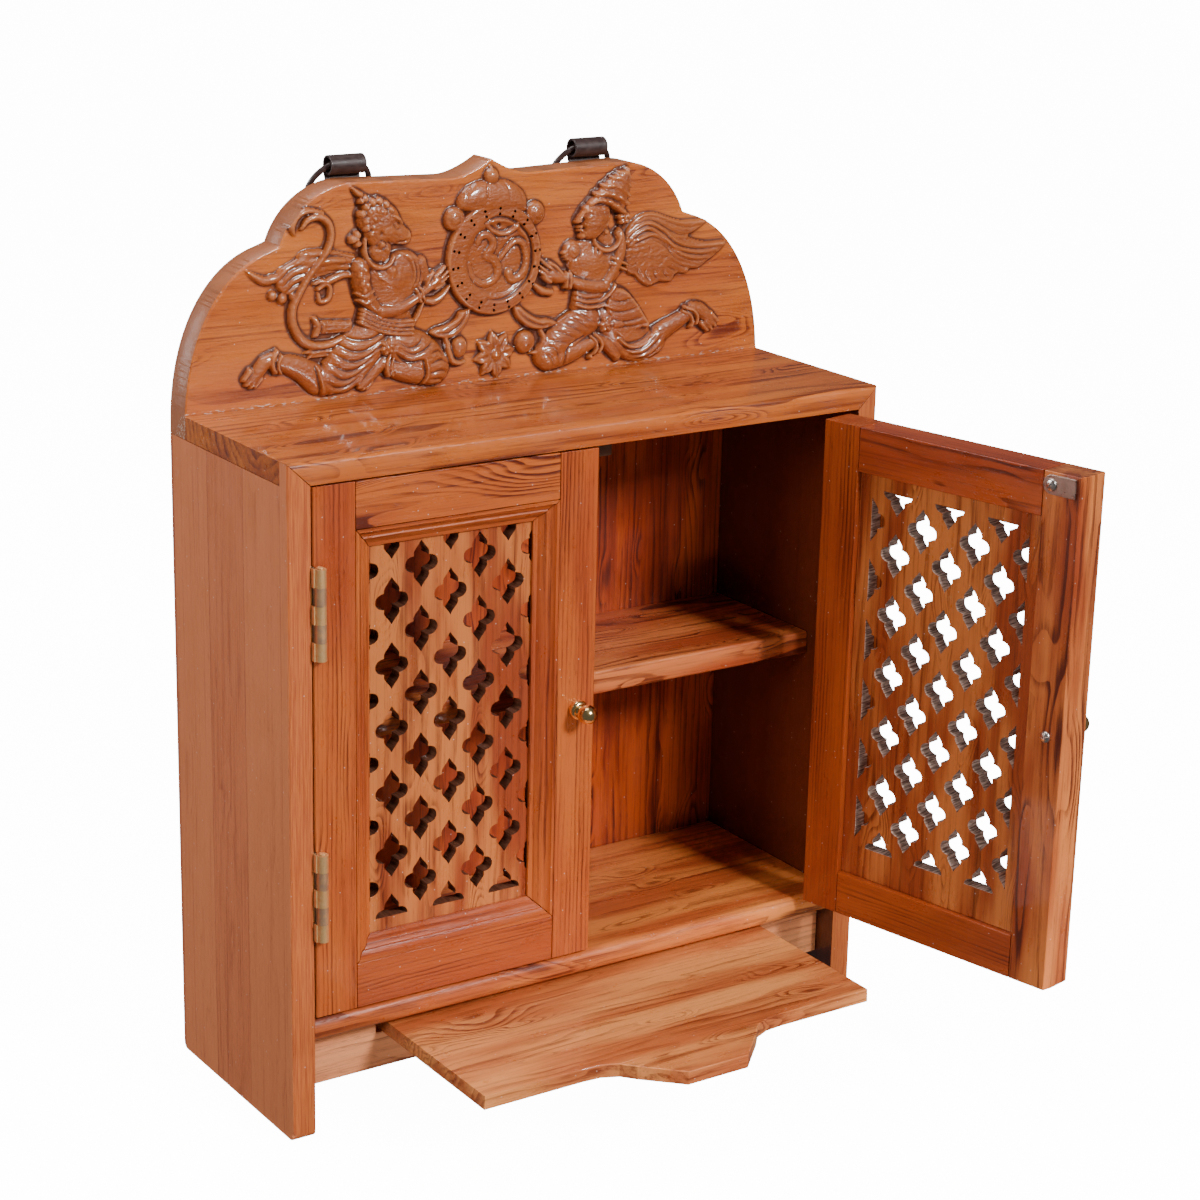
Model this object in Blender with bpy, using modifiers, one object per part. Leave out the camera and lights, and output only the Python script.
"""Home temple: a wooden wall cabinet with two fretwork doors, a pull-out tray and a carved crest.

Everything is modelled in metres with +Z up.  X runs across the front, Y goes from the front to the
back and Z = 0 is the surface the cabinet stands on.  Inside the cabinet's own frame x = 0 is its
middle and y = 0 is the front edge of its sides.
"""

import math

import bmesh
import bpy
import numpy as np
from mathutils import Matrix, Vector

MM = 0.001
GAP = 0.3 * MM  # clearance between two pieces that touch in the real cabinet

# Cabinet
WIDTH = 384 * MM
BOX_HEIGHT = 382 * MM  # up to the upper face of the top board
DEPTH = 137 * MM
SIDE_THICK = 13.5 * MM
TOP_THICK = 13 * MM
TONGUE = 8 * MM  # front strip of the sides that meets the top board in a mitre
FOOT_RADIUS = 4 * MM
CREST_THICK = 19 * MM
BACK_THICK = 6 * MM
BACK_BOTTOM = 40 * MM
SHELF_THICK = 14 * MM
MIDDLE_SHELF_Z = 210 * MM
MIDDLE_SHELF_FRONT = 38 * MM
BOTTOM_SHELF_Z = 55.5 * MM
BOTTOM_SHELF_FRONT = 0.8 * MM
APRON_FRONT = 15.5 * MM
APRON_THICK = 10 * MM
APRON_BOTTOM = 23 * MM

# Pull-out tray
TRAY_HALF = 129 * MM
TRAY_THICK = 8 * MM
TRAY_TOP = 53.4 * MM
TRAY_REAR = 130 * MM  # pushed in
TRAY_LENGTH = 127 * MM  # without the lip
TRAY_TRAVEL = 98.5 * MM
SLOT_HALF = 132 * MM
SLOT_BOTTOM = 44.5 * MM
RUNNER_WALL = 8.2 * MM
RUNNER_LEDGE = 9 * MM

# Doors, shut
DOOR_THICK = 21.5 * MM
DOOR_FACE = 0.5 * MM
DOOR_OUTER = 177.2 * MM
DOOR_INNER = 0.65 * MM
DOOR_BOTTOM = 70.8 * MM
DOOR_TOP = 368.2 * MM
STILE = 25 * MM
RAIL = 26 * MM
PANEL_FRONT = 10.1 * MM
PANEL_THICK = 8.4 * MM
RIGHT_DOOR_OPEN = math.radians(102.5)

# Fretwork: pointed quatrefoils in staggered columns
COLUMN_PITCH = 18.12 * MM
ROW_PITCH = 36.25 * MM
FRET_TOP_ROW = 315.3 * MM
FRET_ROWS = 6
FOIL_TIP = 13.2 * MM
FOIL_SIDE = 10 * MM

# Hinges
AXIS_X = 174.6 * MM
AXIS_Y = -2.9 * MM
HINGE_BOTTOMS = (117 * MM, 275.5 * MM)
KNUCKLES = 5
KNUCKLE_LENGTH = 10 * MM
KNUCKLE_RADIUS = 3.1 * MM
PIN_RADIUS = 1.15 * MM
LEAF_THICK = 1 * MM
LEAF_FRONT = 0.8 * MM
LEAF_REAR = 20.8 * MM

# Knobs and catches
KNOB_X = 12.5 * MM
KNOB_Z = 219.5 * MM
STRIKE_LENGTH = 21 * MM
STRIKE_WIDTH = 11 * MM
STRIKE_THICK = 1.2 * MM
STRIKE_Z = 361.2 * MM
STRIKE_END = 4.15 * MM

# Hangers
HANGER_X = (-84 * MM, 76 * MM)
BARREL_Y = 135.5 * MM
BARREL_Z = BOX_HEIGHT + 127.3 * MM
BARREL_LENGTH = 22 * MM
BARREL_RADIUS = 5.5 * MM
BARREL_BORE = 4.2 * MM
RING_RADIUS = 19 * MM
RING_WIRE = 1.7 * MM
RING_SWING = 16.85 * MM  # from the barrel's middle to the ring's middle
RING_LEAN = math.radians(31)

# Crest outline: a superellipse shoulder, a small step, an arc, and a low ogee peak
CREST_FOOT = 12.7 * MM  # how far the crest board reaches down behind the top board
SHOULDER_CENTRE = (122 * MM, -12 * MM)
SHOULDER_AXES = (70 * MM, 100 * MM)
SHOULDER_POWER = 2.2
SHOULDER_SPAN = (math.radians(5.6), math.radians(77))
SHOULDER_STEPS = 9
UPPER_CENTRE = (88.1 * MM, 71.8 * MM)
UPPER_RADIUS = 48.2 * MM
UPPER_SPAN = (math.radians(19.6), math.radians(86))
UPPER_STEPS = 7
PEAK_HALF = 26 * MM
PEAK_BASE = 118 * MM
PEAK_RISE = 9.5 * MM
PEAK_POWER = 1.7
PEAK_STEPS = 7

# Relief: sampled on a grid, then thinned
RELIEF_CELL = 1.6 * MM
RELIEF_CLEAR = 0.6 * MM  # plain strip kept just above the top board
RELIEF_KEEP = 0.0255

LACQUER = (0.42, 0.13, 0.035)
CARVED = (0.36, 0.11, 0.035)
SIDE_WOOD = (0.45, 0.17, 0.07)
TRAY_WOOD = (0.55, 0.22, 0.07)
INNER_WOOD = (0.20, 0.06, 0.02)


def clear_scene():
    for obj in list(bpy.data.objects):
        bpy.data.objects.remove(obj, do_unlink=True)


def collection(name):
    group = bpy.data.collections.new(name)
    bpy.context.scene.collection.children.link(group)
    return group


clear_scene()
PARTS = collection("home_temple")
CUTTERS = collection("cutters")


def material(name, colour, roughness, metallic=0.0):
    made = bpy.data.materials.new(name)
    made.use_nodes = True
    shader = made.node_tree.nodes["Principled BSDF"]
    shader.inputs["Base Color"].default_value = (*colour, 1.0)
    shader.inputs["Roughness"].default_value = roughness
    shader.inputs["Metallic"].default_value = metallic
    return made


def empty(name, location=(0, 0, 0), parent=None, turn=(0, 0, 0)):
    """A frame that pieces are parented to."""
    frame = bpy.data.objects.new(name, None)
    PARTS.objects.link(frame)
    frame.location = location
    frame.rotation_euler = turn
    frame.parent = parent
    return frame


def add(name, mesh, finish, parent, place=(0, 0, 0), turn=(0, 0, 0), smooth=None):
    """Link a named sub-part.  place is given in the cabinet's frame with everything shut."""
    obj = bpy.data.objects.new(name, mesh)
    PARTS.objects.link(obj)
    obj.parent = parent
    hinged = parent is not TEMPLE
    obj.location = Vector(place) - (parent.location if hinged else Vector())
    obj.rotation_euler = turn
    mesh.materials.clear()
    mesh.materials.append(finish)
    if smooth is not None:
        mesh.shade_smooth()
        mesh.set_sharp_from_angle(angle=math.radians(smooth))
    return obj


def cutter(name, mesh, parent, place=(0, 0, 0), turn=(0, 0, 0)):
    obj = add(name, mesh, CUTTER_FINISH, parent, place, turn)
    PARTS.objects.unlink(obj)
    CUTTERS.objects.link(obj)
    obj.display_type = "WIRE"
    obj.hide_render = True
    return obj


def boolean(obj, other, operation):
    step = obj.modifiers.new(operation.lower(), "BOOLEAN")
    step.operation = operation
    step.object = other
    step.solver = "EXACT"


def round_edges(obj, width, segments, chosen):
    """Bevel the edges whose two ends a and b, in the piece's own frame, pass chosen(a, b)."""
    mesh = obj.data
    weights = mesh.attributes.new("bevel_weight_edge", "FLOAT", "EDGE")
    for edge in mesh.edges:
        a, b = (mesh.vertices[index].co for index in edge.vertices)
        weights.data[edge.index].value = 1.0 if chosen(a, b) else 0.0
    bevel = obj.modifiers.new("rounded edges", "BEVEL")
    bevel.width = width
    bevel.segments = segments
    bevel.limit_method = "WEIGHT"


def box_mesh(name, size):
    shape = bmesh.new()
    bmesh.ops.create_cube(shape, size=1.0)
    bmesh.ops.scale(shape, vec=size, verts=shape.verts)
    mesh = bpy.data.meshes.new(name)
    shape.to_mesh(mesh)
    shape.free()
    return mesh


def board(name, low, high, finish, parent):
    """A squared board between two opposite corners."""
    low, high = Vector(low), Vector(high)
    return add(name, box_mesh(name, high - low), finish, parent, (low + high) / 2)


def slab_mesh(name, outline, thickness, holes=()):
    """A flat outline, with holes, extruded both ways by half its thickness along its own Z."""
    curve = bpy.data.curves.new(name, "CURVE")
    curve.dimensions = "2D"
    curve.fill_mode = "BOTH"
    curve.extrude = thickness / 2
    for ring in (outline, *holes):
        spline = curve.splines.new("POLY")
        spline.points.add(len(ring) - 1)
        for point, (x, y) in zip(spline.points, ring):
            point.co = (x, y, 0, 1)
        spline.use_cyclic_u = True
    guide = bpy.data.objects.new(name, curve)
    CUTTERS.objects.link(guide)
    graph = bpy.context.evaluated_depsgraph_get()
    mesh = bpy.data.meshes.new_from_object(guide.evaluated_get(graph))
    bpy.data.objects.remove(guide, do_unlink=True)
    bpy.data.curves.remove(curve)
    shape = bmesh.new()
    shape.from_mesh(mesh)
    bmesh.ops.remove_doubles(shape, verts=shape.verts, dist=1e-6)
    bmesh.ops.recalc_face_normals(shape, faces=shape.faces)
    shape.to_mesh(mesh)
    shape.free()
    mesh.name = name
    return mesh


def turned_mesh(name, profile, steps):
    """A profile of (radius, height) points, from top to bottom, turned about Z."""
    shape = bmesh.new()
    verts = [shape.verts.new((radius, 0, height)) for radius, height in profile]
    for upper, lower in zip(verts, verts[1:]):
        shape.edges.new((upper, lower))
    mesh = bpy.data.meshes.new(name)
    shape.to_mesh(mesh)
    shape.free()
    blank = bpy.data.objects.new(name, mesh)
    CUTTERS.objects.link(blank)
    screw = blank.modifiers.new("turned", "SCREW")
    screw.steps = steps
    screw.render_steps = steps
    screw.use_merge_vertices = True
    screw.merge_threshold = 1e-6
    graph = bpy.context.evaluated_depsgraph_get()
    made = bpy.data.meshes.new_from_object(blank.evaluated_get(graph))
    bpy.data.objects.remove(blank, do_unlink=True)
    return made


def arc(centre, radius, start, end, steps):
    """Points on a circle from one angle to another, both ends included, in degrees."""
    return [
        (centre[0] + radius * math.cos(angle), centre[1] + radius * math.sin(angle))
        for angle in (math.radians(start + (end - start) * i / steps) for i in range(steps + 1))
    ]


def circle(centre, radius, count):
    return arc(centre, radius, 0, 360, count)[:-1]


def cut_mesh(name, first, cutters):
    """The first mesh with the others taken out of it by Boolean differences."""
    base = bpy.data.objects.new(name, first)
    CUTTERS.objects.link(base)
    helpers = [bpy.data.objects.new(mesh.name, mesh) for mesh in cutters]
    for helper in helpers:
        CUTTERS.objects.link(helper)
        boolean(base, helper, "DIFFERENCE")
    graph = bpy.context.evaluated_depsgraph_get()
    made = bpy.data.meshes.new_from_object(base.evaluated_get(graph))
    for helper in (base, *helpers):
        bpy.data.objects.remove(helper, do_unlink=True)
    made.name = name
    return made


UPRIGHT = (math.radians(90), 0, 0)  # outline's x, y become world X, Z
SIDEWAYS = (math.radians(90), 0, math.radians(90))  # outline's x, y become world Y, Z

CUTTER_FINISH = material("cutter", (0.8, 0.1, 0.1), 0.5)
VARNISHED = material("varnished_wood", LACQUER, 0.28)
SIDE = material("side_wood", SIDE_WOOD, 0.32)
CREST = material("carved_wood", CARVED, 0.25)
TRAY = material("tray_wood", TRAY_WOOD, 0.3)
INNER = material("inner_wood", INNER_WOOD, 0.5)
BRASS = material("brass", (0.80, 0.60, 0.28), 0.28, 1.0)
STEEL = material("steel", (0.62, 0.61, 0.58), 0.3, 1.0)
BLACK_IRON = material("black_iron", (0.035, 0.028, 0.026), 0.45, 0.6)
BROWN_PLASTIC = material("brown_catch", (0.06, 0.025, 0.015), 0.45)

TEMPLE = empty("temple")


def side_panels():
    """Two upright sides with rounded feet, a mitred front tongue and pockets for the hinge leaves."""
    shoulder = BOX_HEIGHT - TOP_THICK
    outline = [
        *arc((FOOT_RADIUS, FOOT_RADIUS), FOOT_RADIUS, 180, 270, 3),
        *arc((DEPTH - FOOT_RADIUS, FOOT_RADIUS), FOOT_RADIUS, 270, 360, 3),
        (DEPTH, shoulder),
        (TONGUE, shoulder),
        (TONGUE, BOX_HEIGHT),
        (0, BOX_HEIGHT),
    ]
    inner = WIDTH / 2 - SIDE_THICK
    for name, hand in (("side_left", -1), ("side_right", 1)):
        middle = hand * (inner + SIDE_THICK / 2)
        panel = add(name, slab_mesh(name, outline, SIDE_THICK), SIDE, TEMPLE, (middle, 0, 0), SIDEWAYS)
        outer = hand * SIDE_THICK / 2

        def front_arris(a, b):
            at_front = a.x < 1e-6 and b.x < 1e-6
            return at_front and abs(a.z - outer) < 1e-6 and abs(b.z - outer) < 1e-6

        round_edges(panel, 2.5 * MM, 3, front_arris)
        wedge = [
            (hand * (inner - MM), shoulder),
            (hand * inner, shoulder),
            (hand * WIDTH / 2, BOX_HEIGHT),
            (hand * (inner - MM), BOX_HEIGHT + MM),
        ]
        mesh = slab_mesh(name + "_mitre", wedge, TONGUE + 2 * MM)
        boolean(panel, cutter(name + "_mitre", mesh, TEMPLE, (0, TONGUE / 2, 0), UPRIGHT), "DIFFERENCE")
        for count, bottom in enumerate(HINGE_BOTTOMS, 1):
            size = Vector((1.4 * MM, LEAF_REAR + GAP + MM, KNUCKLES * KNUCKLE_LENGTH + 2 * GAP))
            place = (hand * (inner - 0.3 * MM), size.y / 2 - MM, bottom + size.z / 2 - GAP)
            mesh = box_mesh(f"{name}_pocket_{count}", size)
            boolean(panel, cutter(mesh.name, mesh, TEMPLE, place), "DIFFERENCE")


def top_board():
    """Lies on the sides; its two front corners are mitred for the sides' tongues."""
    bottom = BOX_HEIGHT - TOP_THICK + GAP
    top = board(
        "top_board",
        (-WIDTH / 2, 0, bottom),
        (WIDTH / 2, DEPTH - CREST_THICK, BOX_HEIGHT),
        VARNISHED,
        TEMPLE,
    )
    front = -(DEPTH - CREST_THICK) / 2
    round_edges(top, 2.2 * MM, 3, lambda a, b: a.y == b.y and a.y < front + 1e-6 and a.z == b.z > 0)
    inner = WIDTH / 2 - SIDE_THICK
    for hand in (-1, 1):
        wedge = [
            (hand * (inner - GAP), bottom - MM),
            (hand * (inner - GAP), bottom),
            (hand * (WIDTH / 2 - GAP), BOX_HEIGHT),
            (hand * (WIDTH / 2 + MM), BOX_HEIGHT + MM),
            (hand * (WIDTH / 2 + MM), bottom - MM),
        ]
        mesh = slab_mesh("top_mitre", wedge, 2 * (TONGUE + GAP))
        boolean(top, cutter("top_mitre", mesh, TEMPLE, turn=UPRIGHT), "DIFFERENCE")


def shelves_and_back():
    inner = WIDTH / 2 - SIDE_THICK - GAP
    back = DEPTH - BACK_THICK
    board(
        "back_panel",
        (-inner, back, BACK_BOTTOM),
        (inner, DEPTH, BOX_HEIGHT - TOP_THICK),
        INNER,
        TEMPLE,
    )
    for name, bottom, front, bullnose in (
        ("middle_shelf", MIDDLE_SHELF_Z, MIDDLE_SHELF_FRONT, 1.5 * MM),
        ("bottom_shelf", BOTTOM_SHELF_Z, BOTTOM_SHELF_FRONT, 5.5 * MM),
    ):
        low = (-inner, front, bottom)
        high = (inner, back - GAP, bottom + SHELF_THICK)
        shelf = board(name, low, high, VARNISHED, TEMPLE)
        nose = -(high[1] - low[1]) / 2 + 1e-6
        round_edges(shelf, bullnose, 4, lambda a, b: a.y < nose and b.y < nose and a.z == b.z)


def apron_and_runners():
    """The rail below the bottom shelf, notched for the tray, and two ledges that carry it."""
    half = WIDTH / 2 - SIDE_THICK - GAP
    top = BOTTOM_SHELF_Z - GAP
    notched = [
        (-half, APRON_BOTTOM),
        (half, APRON_BOTTOM),
        (half, top),
        (SLOT_HALF, top),
        (SLOT_HALF, SLOT_BOTTOM),
        (-SLOT_HALF, SLOT_BOTTOM),
        (-SLOT_HALF, top),
        (-half, top),
    ]
    mesh = slab_mesh("apron_rail", notched, APRON_THICK)
    place = (0, APRON_FRONT + APRON_THICK / 2, 0)
    add("apron_rail", mesh, VARNISHED, TEMPLE, place, UPRIGHT)

    start = APRON_FRONT + APRON_THICK + GAP
    end = DEPTH - BACK_THICK - GAP
    wall = TRAY_HALF + 1.8 * MM
    ledge_top = TRAY_TOP - TRAY_THICK - GAP
    for name, hand in (("tray_runner_left", -1), ("tray_runner_right", 1)):
        profile = [
            (hand * (wall - RUNNER_LEDGE), BACK_BOTTOM),
            (hand * (wall + RUNNER_WALL), BACK_BOTTOM),
            (hand * (wall + RUNNER_WALL), top),
            (hand * wall, top),
            (hand * wall, ledge_top),
            (hand * (wall - RUNNER_LEDGE), ledge_top),
        ]
        mesh = slab_mesh(name, profile, end - start)
        add(name, mesh, INNER, TEMPLE, (0, (start + end) / 2, 0), UPRIGHT)


def tray():
    """A flat board with a narrow finger lip in front, drawn out on its slide."""
    slide = empty("tray_slide", (0, -TRAY_TRAVEL, 0), TEMPLE)
    front = TRAY_REAR - TRAY_LENGTH
    flank = [  # right half of the lip, from the straight front to the tip, out from the front edge
        (67 * MM, 0),
        (56 * MM, 0.9 * MM),
        (46.5 * MM, 5 * MM),
        (40 * MM, 12.5 * MM),
        (22.5 * MM, 29.5 * MM),
        (20 * MM, 32 * MM),
    ]
    outline = [
        (-TRAY_HALF, TRAY_REAR),
        (-TRAY_HALF, front),
        *((-x, front - out) for x, out in flank),
        *((x, front - out) for x, out in reversed(flank)),
        (TRAY_HALF, front),
        (TRAY_HALF, TRAY_REAR),
    ]
    mesh = slab_mesh("tray_board", outline, TRAY_THICK)
    plank = add("tray_board", mesh, TRAY, TEMPLE, (0, 0, TRAY_TOP - TRAY_THICK / 2))
    plank.parent = slide
    round_edges(
        plank, 1.2 * MM, 1, lambda a, b: a.z == b.z > 0 and a.y < front + 1e-6 and b.y < front + 1e-6
    )


def quatrefoil(centre, quarters):
    """A pointed four-lobed hole, or the half of it made of two neighbouring quarters."""
    quarter = [
        (0.0, FOIL_TIP),
        (0.35 * FOIL_TIP, 0.38 * FOIL_TIP),
        (0.86 * FOIL_SIDE, 0.34 * FOIL_SIDE),
        (FOIL_SIDE, 0.0),
    ]
    turns = {  # quarter number, running clockwise from the upper right
        0: [(x, y) for x, y in quarter],
        1: [(x, -y) for x, y in reversed(quarter)],
        2: [(-x, -y) for x, y in quarter],
        3: [(-x, y) for x, y in reversed(quarter)],
    }
    points = []
    for number in quarters:
        for x, y in turns[number]:
            point = (centre[0] + x, centre[1] + y)
            if point not in points:
                points.append(point)
    return points


def fret_holes(middle):
    """Every hole of a door's panel: whole ones, and halves along its four edges."""
    upper = FRET_TOP_ROW
    whole, right, left, lower_half, upper_half = (0, 1, 2, 3), (0, 1), (2, 3), (1, 2), (3, 0)
    holes = []
    for column in range(-3, 4):
        x = middle + column * COLUMN_PITCH
        odd = column % 2 == 1
        if odd:
            part = {-3: right, 3: left}.get(column, whole)
            rows = [(upper - row * ROW_PITCH, part) for row in range(FRET_ROWS)]
        else:
            start = upper + ROW_PITCH / 2
            rows = [(start - row * ROW_PITCH, whole) for row in range(1, FRET_ROWS)]
            rows += [(start, lower_half), (start - FRET_ROWS * ROW_PITCH, upper_half)]
        holes += [quatrefoil((x, z), part) for z, part in rows]
    return holes


MOULDING = [  # across from the frame, depth behind the door's face, in millimetres
    (0, 0),
    (1.8, 0),
    (2.2, 0.9),
    (3.4, 2.4),
    (5.2, 3.3),
    (6.0, 3.0),
    (8.2, 4.6),
    (9.8, 7.0),
    (12, 7.8),
]


def mouldings(side, hand, axis):
    """Four mitred strips between the frame's face and the fretwork."""
    left = DOOR_INNER + STILE + GAP
    right = DOOR_OUTER - STILE - GAP
    low = DOOR_BOTTOM + RAIL + GAP
    high = DOOR_TOP - RAIL - GAP
    middle = Vector((hand * (left + right) / 2, DOOR_FACE, (low + high) / 2))
    section = [(across * MM, depth * MM) for across, depth in MOULDING]
    bed = PANEL_FRONT - DOOR_FACE - GAP
    section += [(section[-1][0], bed), (0, bed)]
    width, height = right - left, high - low
    for edge, inward, length, reach in (
        ("bottom", Vector((0, 0, 1)), width, height / 2),
        ("top", Vector((0, 0, -1)), width, height / 2),
        ("left", Vector((1, 0, 0)), height, width / 2),
        ("right", Vector((-1, 0, 0)), height, width / 2),
    ):
        name = f"{side}_moulding_{edge}"
        mesh = slab_mesh(name, section, length)
        for vert in mesh.vertices:  # mitre both ends
            vert.co.z *= 1 - (vert.co.x + GAP) / (length / 2)
        depth = Vector((0, 1, 0))
        turn = Matrix((inward, depth, inward.cross(depth))).transposed().to_euler()
        add(name, mesh, VARNISHED, axis, middle - inward * reach, turn)


def door_frame(side, hand, axis):
    """Two stiles and two rails; the hinge stile is let in for the leaves."""
    back = DOOR_FACE + DOOR_THICK
    height = DOOR_TOP - DOOR_BOTTOM
    middle = (DOOR_TOP + DOOR_BOTTOM) / 2
    ease = 0.8 * MM
    relief = 1.2 * MM  # bevel that lets the meeting edges pass each other
    free = [
        (DOOR_INNER, DOOR_FACE + ease),
        (DOOR_INNER + ease, DOOR_FACE),
        (DOOR_INNER + STILE, DOOR_FACE),
        (DOOR_INNER + STILE, back),
        (DOOR_INNER + relief, back),
        (DOOR_INNER, back - 5 * relief),
    ]
    hung = [
        (DOOR_OUTER - STILE, DOOR_FACE),
        (DOOR_OUTER - ease, DOOR_FACE),
        (DOOR_OUTER, DOOR_FACE + ease),
        (DOOR_OUTER, back),
        (DOOR_OUTER - STILE, back),
    ]
    for name, outline in (("stile_free", free), ("stile_hinge", hung)):
        outline = [(hand * x, y) for x, y in outline]
        stile = add(
            f"{side}_{name}",
            slab_mesh(f"{side}_{name}", outline, height),
            VARNISHED,
            axis,
            (0, 0, middle),
        )
    for count, bottom in enumerate(HINGE_BOTTOMS, 1):
        reach = LEAF_THICK + GAP
        size = Vector((reach + MM, LEAF_REAR + GAP, KNUCKLES * KNUCKLE_LENGTH + 2 * GAP))
        place = (hand * (DOOR_OUTER - reach + size.x / 2), size.y / 2, bottom + size.z / 2 - GAP)
        mesh = box_mesh(f"{side}_stile_pocket_{count}", size)
        boolean(stile, cutter(mesh.name, mesh, axis, place), "DIFFERENCE")
    near = DOOR_INNER + STILE + GAP
    far = DOOR_OUTER - STILE - GAP
    for name, bottom in (("rail_bottom", DOOR_BOTTOM), ("rail_top", DOOR_TOP - RAIL)):
        ends = sorted((hand * near, hand * far))
        board(
            f"{side}_{name}",
            (ends[0], DOOR_FACE, bottom),
            (ends[1], back, bottom + RAIL),
            VARNISHED,
            axis,
        )


def jali(side, hand, axis):
    """The pierced panel, held in the frame behind the mouldings."""
    near = DOOR_INNER + STILE + GAP
    far = DOOR_OUTER - STILE - GAP
    low = DOOR_BOTTOM + RAIL + GAP
    high = DOOR_TOP - RAIL - GAP
    outline = [(hand * near, low), (hand * far, low), (hand * far, high), (hand * near, high)]
    holes = fret_holes(hand * (near + far) / 2)
    mesh = slab_mesh(f"{side}_jali_panel", outline, PANEL_THICK, holes)
    place = (0, PANEL_FRONT + PANEL_THICK / 2, 0)
    add(f"{side}_jali_panel", mesh, VARNISHED, axis, place, UPRIGHT)


def leaf_outline(hand, inner, outer):
    """Plan of a hinge leaf about the axis: a knuckle round the pin, and the leaf beside it."""
    rear = LEAF_REAR - AXIS_Y
    start = math.degrees(math.acos(inner / KNUCKLE_RADIUS))
    if outer > KNUCKLE_RADIUS:
        end, corner = 360, (outer, 0)
    else:
        end = 360 + math.degrees(math.acos(outer / KNUCKLE_RADIUS))
        corner = (outer, math.sqrt(KNUCKLE_RADIUS**2 - outer**2) + GAP)
    points = [*arc((0, 0), KNUCKLE_RADIUS, start, end, 6), corner, (outer, rear), (inner, rear)]
    return [(hand * x, y) for x, y in points]


def hinge(side, hand, axis, label, bottom):
    """A butt hinge: a leaf on the cabinet, a leaf on the door, and the pin through both."""
    height = KNUCKLES * KNUCKLE_LENGTH
    middle = bottom + height / 2
    hole = circle((0, 0), 1.45 * MM, 6)
    for name, parent, inner, first in (
        ("cabinet_leaf", TEMPLE, DOOR_OUTER + 0.4 * MM - AXIS_X, 0),
        ("door_leaf", axis, DOOR_OUTER - LEAF_THICK - AXIS_X, 1),
    ):
        full_name = f"{side}_{label}_hinge_{name}"
        outline = leaf_outline(hand, inner, inner + LEAF_THICK)
        gaps = []
        for number in range(1 - first, KNUCKLES, 2):  # room for the other leaf's knuckles
            gap = box_mesh("knuckle_gap", (12 * MM, 8 * MM, KNUCKLE_LENGTH + GAP))
            lift = (number + 0.5) * KNUCKLE_LENGTH - height / 2
            gap.transform(Matrix.Translation((0, LEAF_FRONT - AXIS_Y - 4 * MM, lift)))
            gaps.append(gap)
        mesh = cut_mesh(full_name, slab_mesh(full_name, outline, height, [hole]), gaps)
        add(full_name, mesh, BRASS, parent, (hand * AXIS_X, AXIS_Y, middle), smooth=40)
    head = 2.1 * MM
    end = height / 2 + GAP
    profile = [(0, end + 0.9 * MM), (head, end + 0.6 * MM), (head, end), (PIN_RADIUS, end)]
    profile += [(PIN_RADIUS, -end - 0.4 * MM), (0, -end - 0.4 * MM)]
    name = f"{side}_{label}_hinge_pin"
    mesh = turned_mesh(name, profile, 8)
    add(name, mesh, BRASS, TEMPLE, (hand * AXIS_X, AXIS_Y, middle), smooth=40)


def knob(side, hand, axis):
    """A ball knob on a rosette, turned about the axis that leaves the door's face."""
    profile = [(0, 16.5)]
    profile += [
        (5.5 * math.cos(math.radians(a)), 11 + 5.5 * math.sin(math.radians(a)))
        for a in (55, 18, -18, -55)
    ]
    profile += [(2.4, 4.8), (2.6, 3.0), (5.0, 2.2), (5.6, 0.9), (5.6, GAP / MM), (0, GAP / MM)]
    mesh = turned_mesh(f"{side}_knob", [(r * MM, t * MM) for r, t in profile], 10)
    place = (hand * KNOB_X, DOOR_FACE, KNOB_Z)
    add(f"{side}_knob", mesh, BRASS, axis, place, (math.radians(90), 0, 0), smooth=50)

    head = [(0, 2.0), (2.0, 1.7), (3.3, 0.7), (3.3, 0), (0, 0)]
    mesh = turned_mesh(f"{side}_knob_screw", [(r * MM, t * MM) for r, t in head], 8)
    place = (hand * KNOB_X, DOOR_FACE + DOOR_THICK + GAP, KNOB_Z)
    add(f"{side}_knob_screw", mesh, STEEL, axis, place, (math.radians(-90), 0, 0), smooth=50)


def catch(side, hand, axis):
    """A steel strike with its screw on the door's back, and the catch it meets under the top."""
    behind = DOOR_FACE + DOOR_THICK + GAP
    radius = STRIKE_WIDTH / 2
    far = STRIKE_END + STRIKE_LENGTH
    outline = [
        *arc((far - radius, STRIKE_Z), radius, -90, 90, 6),
        (STRIKE_END, STRIKE_Z + radius),
        (STRIKE_END, STRIKE_Z - radius),
    ]
    outline = [(hand * x, z) for x, z in outline]
    mesh = slab_mesh(f"{side}_strike_plate", outline, STRIKE_THICK)
    place = (0, behind + STRIKE_THICK / 2, 0)
    add(f"{side}_strike_plate", mesh, STEEL, axis, place, UPRIGHT)

    head = [(0, 1.6), (2.2, 1.2), (3.4, 0.2), (3.4, 0), (0, 0)]
    mesh = turned_mesh(f"{side}_strike_screw", [(r * MM, t * MM) for r, t in head], 8)
    place = (hand * (far - radius), behind + STRIKE_THICK + GAP, STRIKE_Z)
    add(f"{side}_strike_screw", mesh, STEEL, axis, place, (math.radians(-90), 0, 0), smooth=50)

    face = behind + STRIKE_THICK + GAP
    rest = face + 2.2 * MM  # clears the strike's screw
    bottom, top = 355 * MM, BOX_HEIGHT - TOP_THICK
    plan = [
        (3.5 * MM, face),
        (14.5 * MM, face),
        (14.5 * MM, rest),
        (24.5 * MM, rest),
        (24.5 * MM, rest + 12.2 * MM),
        (3.5 * MM, rest + 12.2 * MM),
    ]
    plan = [(hand * x, y) for x, y in plan]
    mesh = slab_mesh(f"{side}_catch", plan, top - bottom)
    add(f"{side}_catch", mesh, BROWN_PLASTIC, TEMPLE, (0, 0, (top + bottom) / 2))


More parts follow.
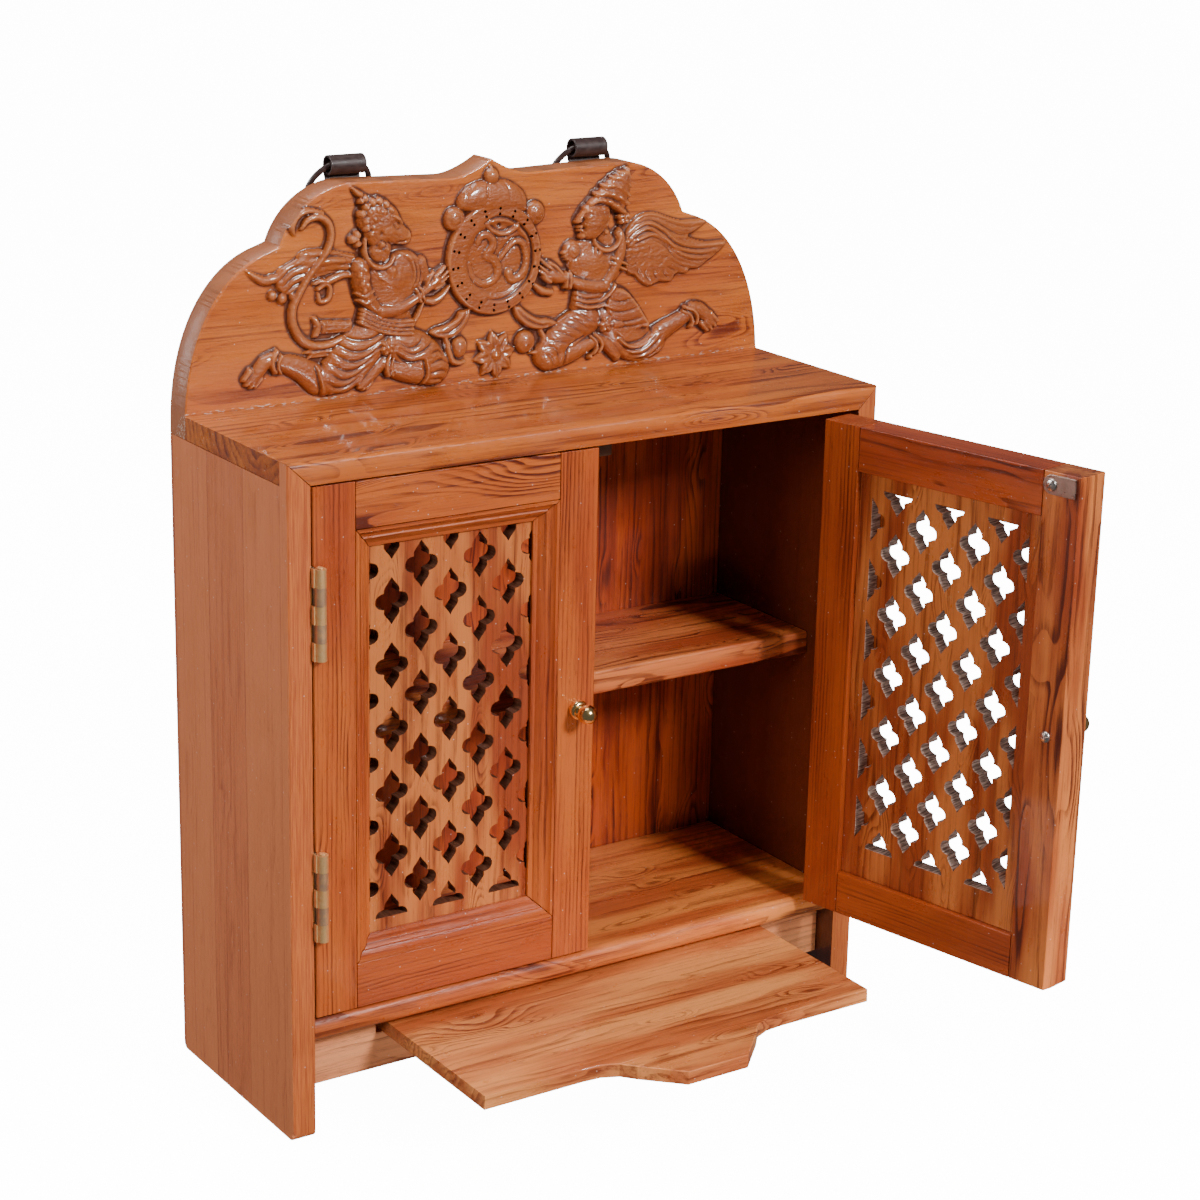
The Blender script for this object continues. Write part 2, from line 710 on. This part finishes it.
def door(side, hand, opened):
    """One door on its hinge axis: +hand is the right-hand side, opened is its turn about Z."""
    axis = empty(f"{side}_axis", (hand * AXIS_X, AXIS_Y, 0), TEMPLE, (0, 0, opened))
    door_frame(side, hand, axis)
    mouldings(side, hand, axis)
    jali(side, hand, axis)
    knob(side, hand, axis)
    catch(side, hand, axis)
    for label, bottom in zip(("lower", "upper"), HINGE_BOTTOMS):
        hinge(side, hand, axis, label, bottom)


def hangers():
    """Two barrels folded from strip, their tails down the back, each holding a loose ring."""
    tail, strip = 1.5 * MM + GAP, 1.3 * MM
    outline = [
        *arc((0, 0), BARREL_RADIUS, 0, 310, 13),
        (3.9 * MM, -6.0 * MM),
        (tail, -8.8 * MM),
        (tail, -36 * MM),
        (tail + strip, -36 * MM),
        (tail + strip, -9.2 * MM),
        (BARREL_RADIUS, -6.0 * MM),
    ]
    for name, x in zip(("left", "right"), HANGER_X):
        mesh = slab_mesh(f"hanger_strap_{name}", outline, BARREL_LENGTH, [circle((0, 0), BARREL_BORE, 10)])
        add(mesh.name, mesh, BLACK_IRON, TEMPLE, (x, BARREL_Y, BARREL_Z), SIDEWAYS, smooth=40)

        bpy.ops.mesh.primitive_torus_add(
            major_radius=RING_RADIUS, minor_radius=RING_WIRE, major_segments=16, minor_segments=6
        )
        torus = bpy.context.active_object
        mesh = torus.data
        bpy.data.objects.remove(torus, do_unlink=True)
        mesh.name = f"hanger_ring_{name}"
        mesh.transform(Matrix.Translation((0, -RING_SWING, 0)))
        turn = (math.pi / 2 + RING_LEAN, 0, 0)
        add(mesh.name, mesh, BLACK_IRON, TEMPLE, (x, BARREL_Y, BARREL_Z), turn, smooth=60)


def crest_edge(x):
    """Height of the low ogee peak above the top board, x from the middle."""
    rise = max(0.0, 1 - abs(x) / PEAK_HALF)
    return PEAK_BASE + PEAK_RISE * rise**PEAK_POWER


def crest_outline():
    """The crest's closed outline in X and height above the top board's upper face."""
    half = [(WIDTH / 2, -CREST_FOOT)]
    start, end = SHOULDER_SPAN
    for step in range(SHOULDER_STEPS + 1):
        angle = start + (end - start) * step / SHOULDER_STEPS
        across = SHOULDER_AXES[0] * math.cos(angle) ** (2 / SHOULDER_POWER)
        up = SHOULDER_AXES[1] * math.sin(angle) ** (2 / SHOULDER_POWER)
        half.append((SHOULDER_CENTRE[0] + across, SHOULDER_CENTRE[1] + up))
    half += arc(UPPER_CENTRE, UPPER_RADIUS, *map(math.degrees, UPPER_SPAN), UPPER_STEPS)
    for step in range(PEAK_STEPS):
        x = PEAK_HALF * (1 - step / PEAK_STEPS)
        half.append((x, crest_edge(x)))
    return [*half, (0, crest_edge(0)), *((-x, up) for x, up in reversed(half))]


class Relief:
    """Heights of a carving over a grid, in millimetres, built up from simple raised forms."""

    def __init__(self, across, up):
        self.x = across
        self.y = up
        self.height = np.zeros_like(across)

    def raise_to(self, shape):
        self.height = np.maximum(self.height, shape)

    def limb(self, points, radii, height):
        """A rounded limb along points, its radius running from radii[0] to radii[1]."""
        spans = [math.dist(a, b) for a, b in zip(points, points[1:])]
        done = 0.0
        for a, b, span in zip(points, points[1:], spans):
            along = ((self.x - a[0]) * (b[0] - a[0]) + (self.y - a[1]) * (b[1] - a[1])) / span**2
            along = np.clip(along, 0, 1)
            off = np.hypot(self.x - a[0] - along * (b[0] - a[0]), self.y - a[1] - along * (b[1] - a[1]))
            share = (done + along * span) / sum(spans)
            radius = radii[0] + (radii[1] - radii[0]) * share
            inside = np.clip(1 - (off / radius) ** 2, 0, 1)
            self.raise_to(height * (radius / max(radii)) ** 0.5 * inside**0.5)
            done += span

    def dome(self, centre, radii, height, turn=0.0, power=0.5):
        """An oval dome, turned by an angle in degrees."""
        cos, sin = math.cos(math.radians(turn)), math.sin(math.radians(turn))
        u = ((self.x - centre[0]) * cos + (self.y - centre[1]) * sin) / radii[0]
        v = ((self.y - centre[1]) * cos - (self.x - centre[0]) * sin) / radii[1]
        self.raise_to(height * np.clip(1 - u * u - v * v, 0, 1) ** power)

    def plate(self, corners, height, edge):
        """A flat raised piece whose border slopes down over edge."""
        inside = np.zeros(self.x.shape, bool)
        nearest = np.full(self.x.shape, np.inf)
        for a, b in zip(corners, corners[1:] + corners[:1]):
            crosses = (a[1] > self.y) != (b[1] > self.y)
            slope = (b[0] - a[0]) / ((b[1] - a[1]) or 1e-9)
            inside ^= crosses & (self.x < a[0] + slope * (self.y - a[1]))
            span = math.dist(a, b) ** 2
            along = ((self.x - a[0]) * (b[0] - a[0]) + (self.y - a[1]) * (b[1] - a[1])) / span
            along = np.clip(along, 0, 1)
            off = np.hypot(self.x - a[0] - along * (b[0] - a[0]), self.y - a[1] - along * (b[1] - a[1]))
            nearest = np.minimum(nearest, off)
        ramp = np.where(inside, np.clip(nearest / edge, 0, 1), 0)
        self.raise_to(height * np.sqrt(ramp * (2 - ramp)))

    def cut(self, points, radius, depth):
        """A rounded groove along points, only where something is raised."""
        deepest = np.zeros_like(self.height)
        for a, b in zip(points, points[1:]):
            span = math.dist(a, b) ** 2
            along = ((self.x - a[0]) * (b[0] - a[0]) + (self.y - a[1]) * (b[1] - a[1])) / span
            along = np.clip(along, 0, 1)
            off = np.hypot(self.x - a[0] - along * (b[0] - a[0]), self.y - a[1] - along * (b[1] - a[1]))
            deepest = np.maximum(deepest, depth * np.clip(1 - (off / radius) ** 2, 0, 1))
        self.height = np.where(self.height > 0, np.maximum(self.height - deepest, 0.2), self.height)

    def rosette(self, centre, radius, petals, height):
        """A flower of round petals about a button."""
        for petal in range(petals):
            angle = 2 * math.pi * petal / petals
            place = (
                centre[0] + 0.62 * radius * math.cos(angle),
                centre[1] + 0.62 * radius * math.sin(angle),
            )
            self.dome(place, (0.42 * radius, 0.26 * radius), height, math.degrees(angle))
        self.dome(centre, (0.3 * radius, 0.3 * radius), height * 1.15)


def carve_runner(relief):
    """The monkey-faced hero on the left: a kneeling run to the right, palms joined, tail and scarf."""
    tail = [(-92, 35), (-110, 32), (-123, 36), (-127, 45), (-119, 64), (-104, 87), (-103, 99), (-113, 105)]
    relief.limb(tail, (2.6, 2.4), 2.6)
    relief.dome((-121, 101), (6, 5), 3.2, 20)
    relief.limb([(-86, 77), (-104, 82), (-119, 82), (-132, 75), (-150, 73)], (5.5, 4.5), 2.6)
    relief.limb([(-88, 70), (-106, 67), (-118, 68), (-130, 62), (-142, 63)], (4, 5), 2.4)
    relief.limb([(-114, 43), (-92, 41)], (5.2, 4.0), 4.0)
    relief.limb([(-120, 26), (-102, 28)], (3.4, 4.2), 2.4)
    relief.limb([(-78, 36), (-107, 9)], (11, 7), 5.6)
    relief.limb([(-109, 9), (-137, 28)], (6, 3.8), 4.2)
    relief.limb([(-140, 31), (-154, 15)], (3.8, 3.2), 3.4)
    relief.limb([(-66, 64), (-66, 40)], (18, 12), 6.0)
    relief.limb([(-66, 34), (-39, 12)], (11, 7), 6.6)
    relief.limb([(-38, 9), (-68, 16)], (5.4, 3.8), 4.8)
    relief.limb([(-69, 18), (-85, 6)], (4.0, 3.2), 3.8)
    relief.limb([(-53, 36), (-46, 49)], (3.5, 4.5), 4.0)
    for drop in (0, 5):
        relief.limb([(-86, 47 - drop), (-70, 40 - drop), (-53, 36 - drop)], (2.6, 2.6), 7.0)
    relief.limb([(-50, 73), (-42, 62)], (6.5, 4.5), 6.0)
    relief.limb([(-85, 75), (-71, 48), (-48, 56)], (6.6, 3.8), 7.6)
    relief.limb([(-47, 57), (-30, 66)], (4.6, 2.2), 7.4)
    relief.limb([(-44, 51), (-29, 57)], (3.6, 2.0), 6.2)
    relief.dome((-71, 92), (12, 12.5), 6.6)
    relief.dome((-59, 88), (6.8, 6.4), 7.0, -20)
    relief.dome((-76, 101), (12, 8), 6.4, 25)
    relief.dome((-84, 109), (5.2, 4.6), 5.4)
    relief.limb([(-87, 113), (-91, 118)], (3.0, 1.6), 3.6)
    relief.limb([(-81, 84), (-77, 76), (-70, 72), (-64, 75)], (2.8, 2.6), 7.4)
    relief.rosette((-82, 88), 6.0, 5, 7.0)
    relief.rosette((-70, 27), 6.0, 6, 7.6)
    relief.cut([(-60, 84), (-53, 85)], 1.2, 2.0)
    relief.cut([(-70, 100), (-60, 97)], 1.4, 1.6)


def carve_winged(relief):
    """The winged figure on the right: the same stride to the left, palms joined, banded crown."""
    wing = [(90, 62), (90, 75), (99, 85), (119, 88), (132, 83), (150, 82), (138, 75), (145, 69), (164, 67)]
    wing += [(158, 60), (145, 53), (128, 50), (110, 45), (98, 53)]
    relief.plate(wing, 3.6, 3.0)
    for tip in ((148, 81), (140, 74), (161, 66), (150, 57), (134, 52)):
        relief.cut([(99, 66), (0.5 * (99 + tip[0]), 0.5 * (66 + tip[1]) + 3), tip], 1.6, 1.5)
    relief.limb([(84, 28), (108, 9)], (11, 7), 5.6)
    relief.limb([(110, 9), (140, 26)], (6, 3.8), 4.2)
    relief.limb([(143, 29), (158, 18)], (3.8, 3.2), 3.4)
    relief.limb([(69, 62), (70, 42)], (17.5, 12), 6.0)
    relief.limb([(66, 33), (39, 12)], (11, 7), 6.6)
    relief.limb([(39, 8), (69, 14)], (5.2, 3.8), 4.8)
    relief.limb([(75, 16), (89, 4)], (4.0, 3.2), 3.8)
    relief.plate([(75, 36), (88, 42), (103, 34), (107, 25), (97, 19), (84, 20), (73, 25)], 6.4, 3.0)
    for bottom in ((80, 21), (90, 19), (100, 21)):
        relief.cut([(82, 38), bottom], 1.4, 1.6)
    for drop in (0, 5):
        relief.limb([(55, 42 - drop), (71, 42 - drop), (86, 49 - drop)], (2.6, 2.6), 7.0)
    relief.limb([(56, 71), (46, 61)], (6, 4.4), 6.0)
    relief.limb([(89, 68), (74, 47), (50, 55)], (7, 3.9), 7.6)
    relief.limb([(49, 56), (34, 65)], (4.6, 2.2), 7.4)
    relief.limb([(43, 49), (30, 53)], (3.6, 2.0), 6.2)
    relief.dome((66, 88), (10.5, 11.5), 6.8)
    relief.limb([(61, 91), (55, 88)], (3.0, 2.0), 7.0)
    relief.limb([(72, 97), (92, 115)], (12, 4), 6.4)
    for share in (0.2, 0.45, 0.7):
        x, y = 72 + 20 * share, 97 + 18 * share
        relief.cut([(x - 9, y + 10), (x + 9, y - 10)], 1.3, 1.8)
    relief.rosette((90, 87), 5.6, 6, 6.4)
    relief.dome((77, 79), (5, 5), 7.0)
    relief.rosette((54, 72), 5.4, 6, 6.8)
    relief.rosette((76, 26), 6.2, 6, 7.8)
    relief.cut([(60, 84), (66, 83)], 1.2, 1.6)


def carve_medallion(relief):
    """The round seal in the middle with its melon dome, bosses, flower and leaf scrolls."""
    relief.dome((0.5, 101), (23, 14), 5.4)
    for lean in (-12, -4, 4, 12):
        relief.cut([(0.5 + 0.4 * lean, 117), (0.5 + lean, 100)], 1.5, 1.6)
    relief.dome((0, 119), (4.2, 4.2), 4.4)
    for centre in ((-26, 95), (28, 96)):
        relief.dome(centre, (6.8, 6.8), 5.6)
    relief.dome((1, 70), (31.5, 33.5), 4.8, power=0.22)
    hollow = np.hypot((relief.x - 2) / 22.5, (relief.y - 70) / 23.5) < 1
    relief.height = np.where(hollow, 1.0, relief.height)
    relief.limb([(-11, 80), (-4, 84), (2, 80), (1, 75), (-4, 71)], (1.6, 2.4), 3.4)
    relief.limb([(-4, 71), (4, 65), (4, 58), (-4, 54), (-12, 58), (-17, 67)], (2.6, 1.6), 3.4)
    relief.limb([(4, 68), (8, 76), (15, 79), (19, 72), (16, 63), (10, 61)], (1.8, 1.6), 3.4)
    relief.limb([(-4, 92), (1, 87), (8, 85), (15, 88)], (1.4, 1.6), 3.2)
    relief.dome((5, 91.5), (2.2, 2.2), 3.4)
    relief.rosette((2, 15), 13.5, 8, 5.2)
    relief.dome((-20, 21), (6.4, 6.2), 5.6)
    relief.limb([(-16, 43), (-22, 32), (-35, 28)], (4.4, 2.2), 4.0)
    relief.limb([(-26, 14), (-33, 20)], (4.0, 2.4), 3.6)
    relief.dome((23, 20), (6.6, 6.4), 5.6)
    relief.limb([(16, 42), (24, 32), (36, 27)], (4.4, 2.2), 4.0)
    relief.limb([(29, 13), (36, 19)], (4.0, 2.4), 3.6)


def crest_board():
    """A flat board with the true outline, its front displaced by the carving."""
    face = DEPTH - CREST_THICK + GAP
    low, high = -CREST_FOOT, PEAK_BASE + PEAK_RISE + MM
    width = WIDTH + 4 * MM
    columns = round(width / RELIEF_CELL)
    rows = round((high - low) / RELIEF_CELL)
    shape = bmesh.new()
    bmesh.ops.create_grid(shape, x_segments=columns, y_segments=rows, size=0.5)
    flat = [vert.co.copy() for vert in shape.verts]
    across = np.array([co.x * width for co in flat]) / MM
    up = np.array([(co.y + 0.5) * (high - low) + low for co in flat]) / MM
    relief = Relief(across, up)
    carve_runner(relief)
    carve_winged(relief)
    carve_medallion(relief)
    raised = np.where(up > RELIEF_CLEAR / MM, relief.height, 0)
    front = list(shape.faces)
    for vert, x, z, out in zip(shape.verts, across, up, raised):
        vert.co = (x * MM, face - out * MM, BOX_HEIGHT + z * MM)
    made = bmesh.ops.extrude_face_region(shape, geom=front)
    for item in made["geom"]:
        if isinstance(item, bmesh.types.BMVert):
            item.co.y = DEPTH
    bmesh.ops.recalc_face_normals(shape, faces=shape.faces)
    mesh = bpy.data.meshes.new("crest_board")
    shape.to_mesh(mesh)
    shape.free()
    crest = add("crest_board", mesh, CREST, TEMPLE, smooth=35)
    thin = crest.modifiers.new("thinned", "DECIMATE")
    thin.ratio = RELIEF_KEEP
    blank = slab_mesh("crest_blank", crest_outline(), 3 * CREST_THICK)
    place = (0, DEPTH - CREST_THICK, BOX_HEIGHT)
    boolean(crest, cutter("crest_blank", blank, TEMPLE, place, UPRIGHT), "INTERSECT")


def centre_on_origin():
    """Move the whole temple so the origin is under the middle of the resting object's box."""
    bpy.context.view_layer.update()
    graph = bpy.context.evaluated_depsgraph_get()
    corners = []
    for obj in PARTS.objects:
        if obj.type == "MESH":
            made = obj.evaluated_get(graph)
            corners += [made.matrix_world @ vert.co for vert in made.data.vertices]
    for axis in (0, 1):
        values = [corner[axis] for corner in corners]
        TEMPLE.location[axis] = -(min(values) + max(values)) / 2


side_panels()
top_board()
shelves_and_back()
apron_and_runners()
tray()
door("left_door", -1, 0.0)
door("right_door", 1, RIGHT_DOOR_OPEN)
hangers()
crest_board()
centre_on_origin()
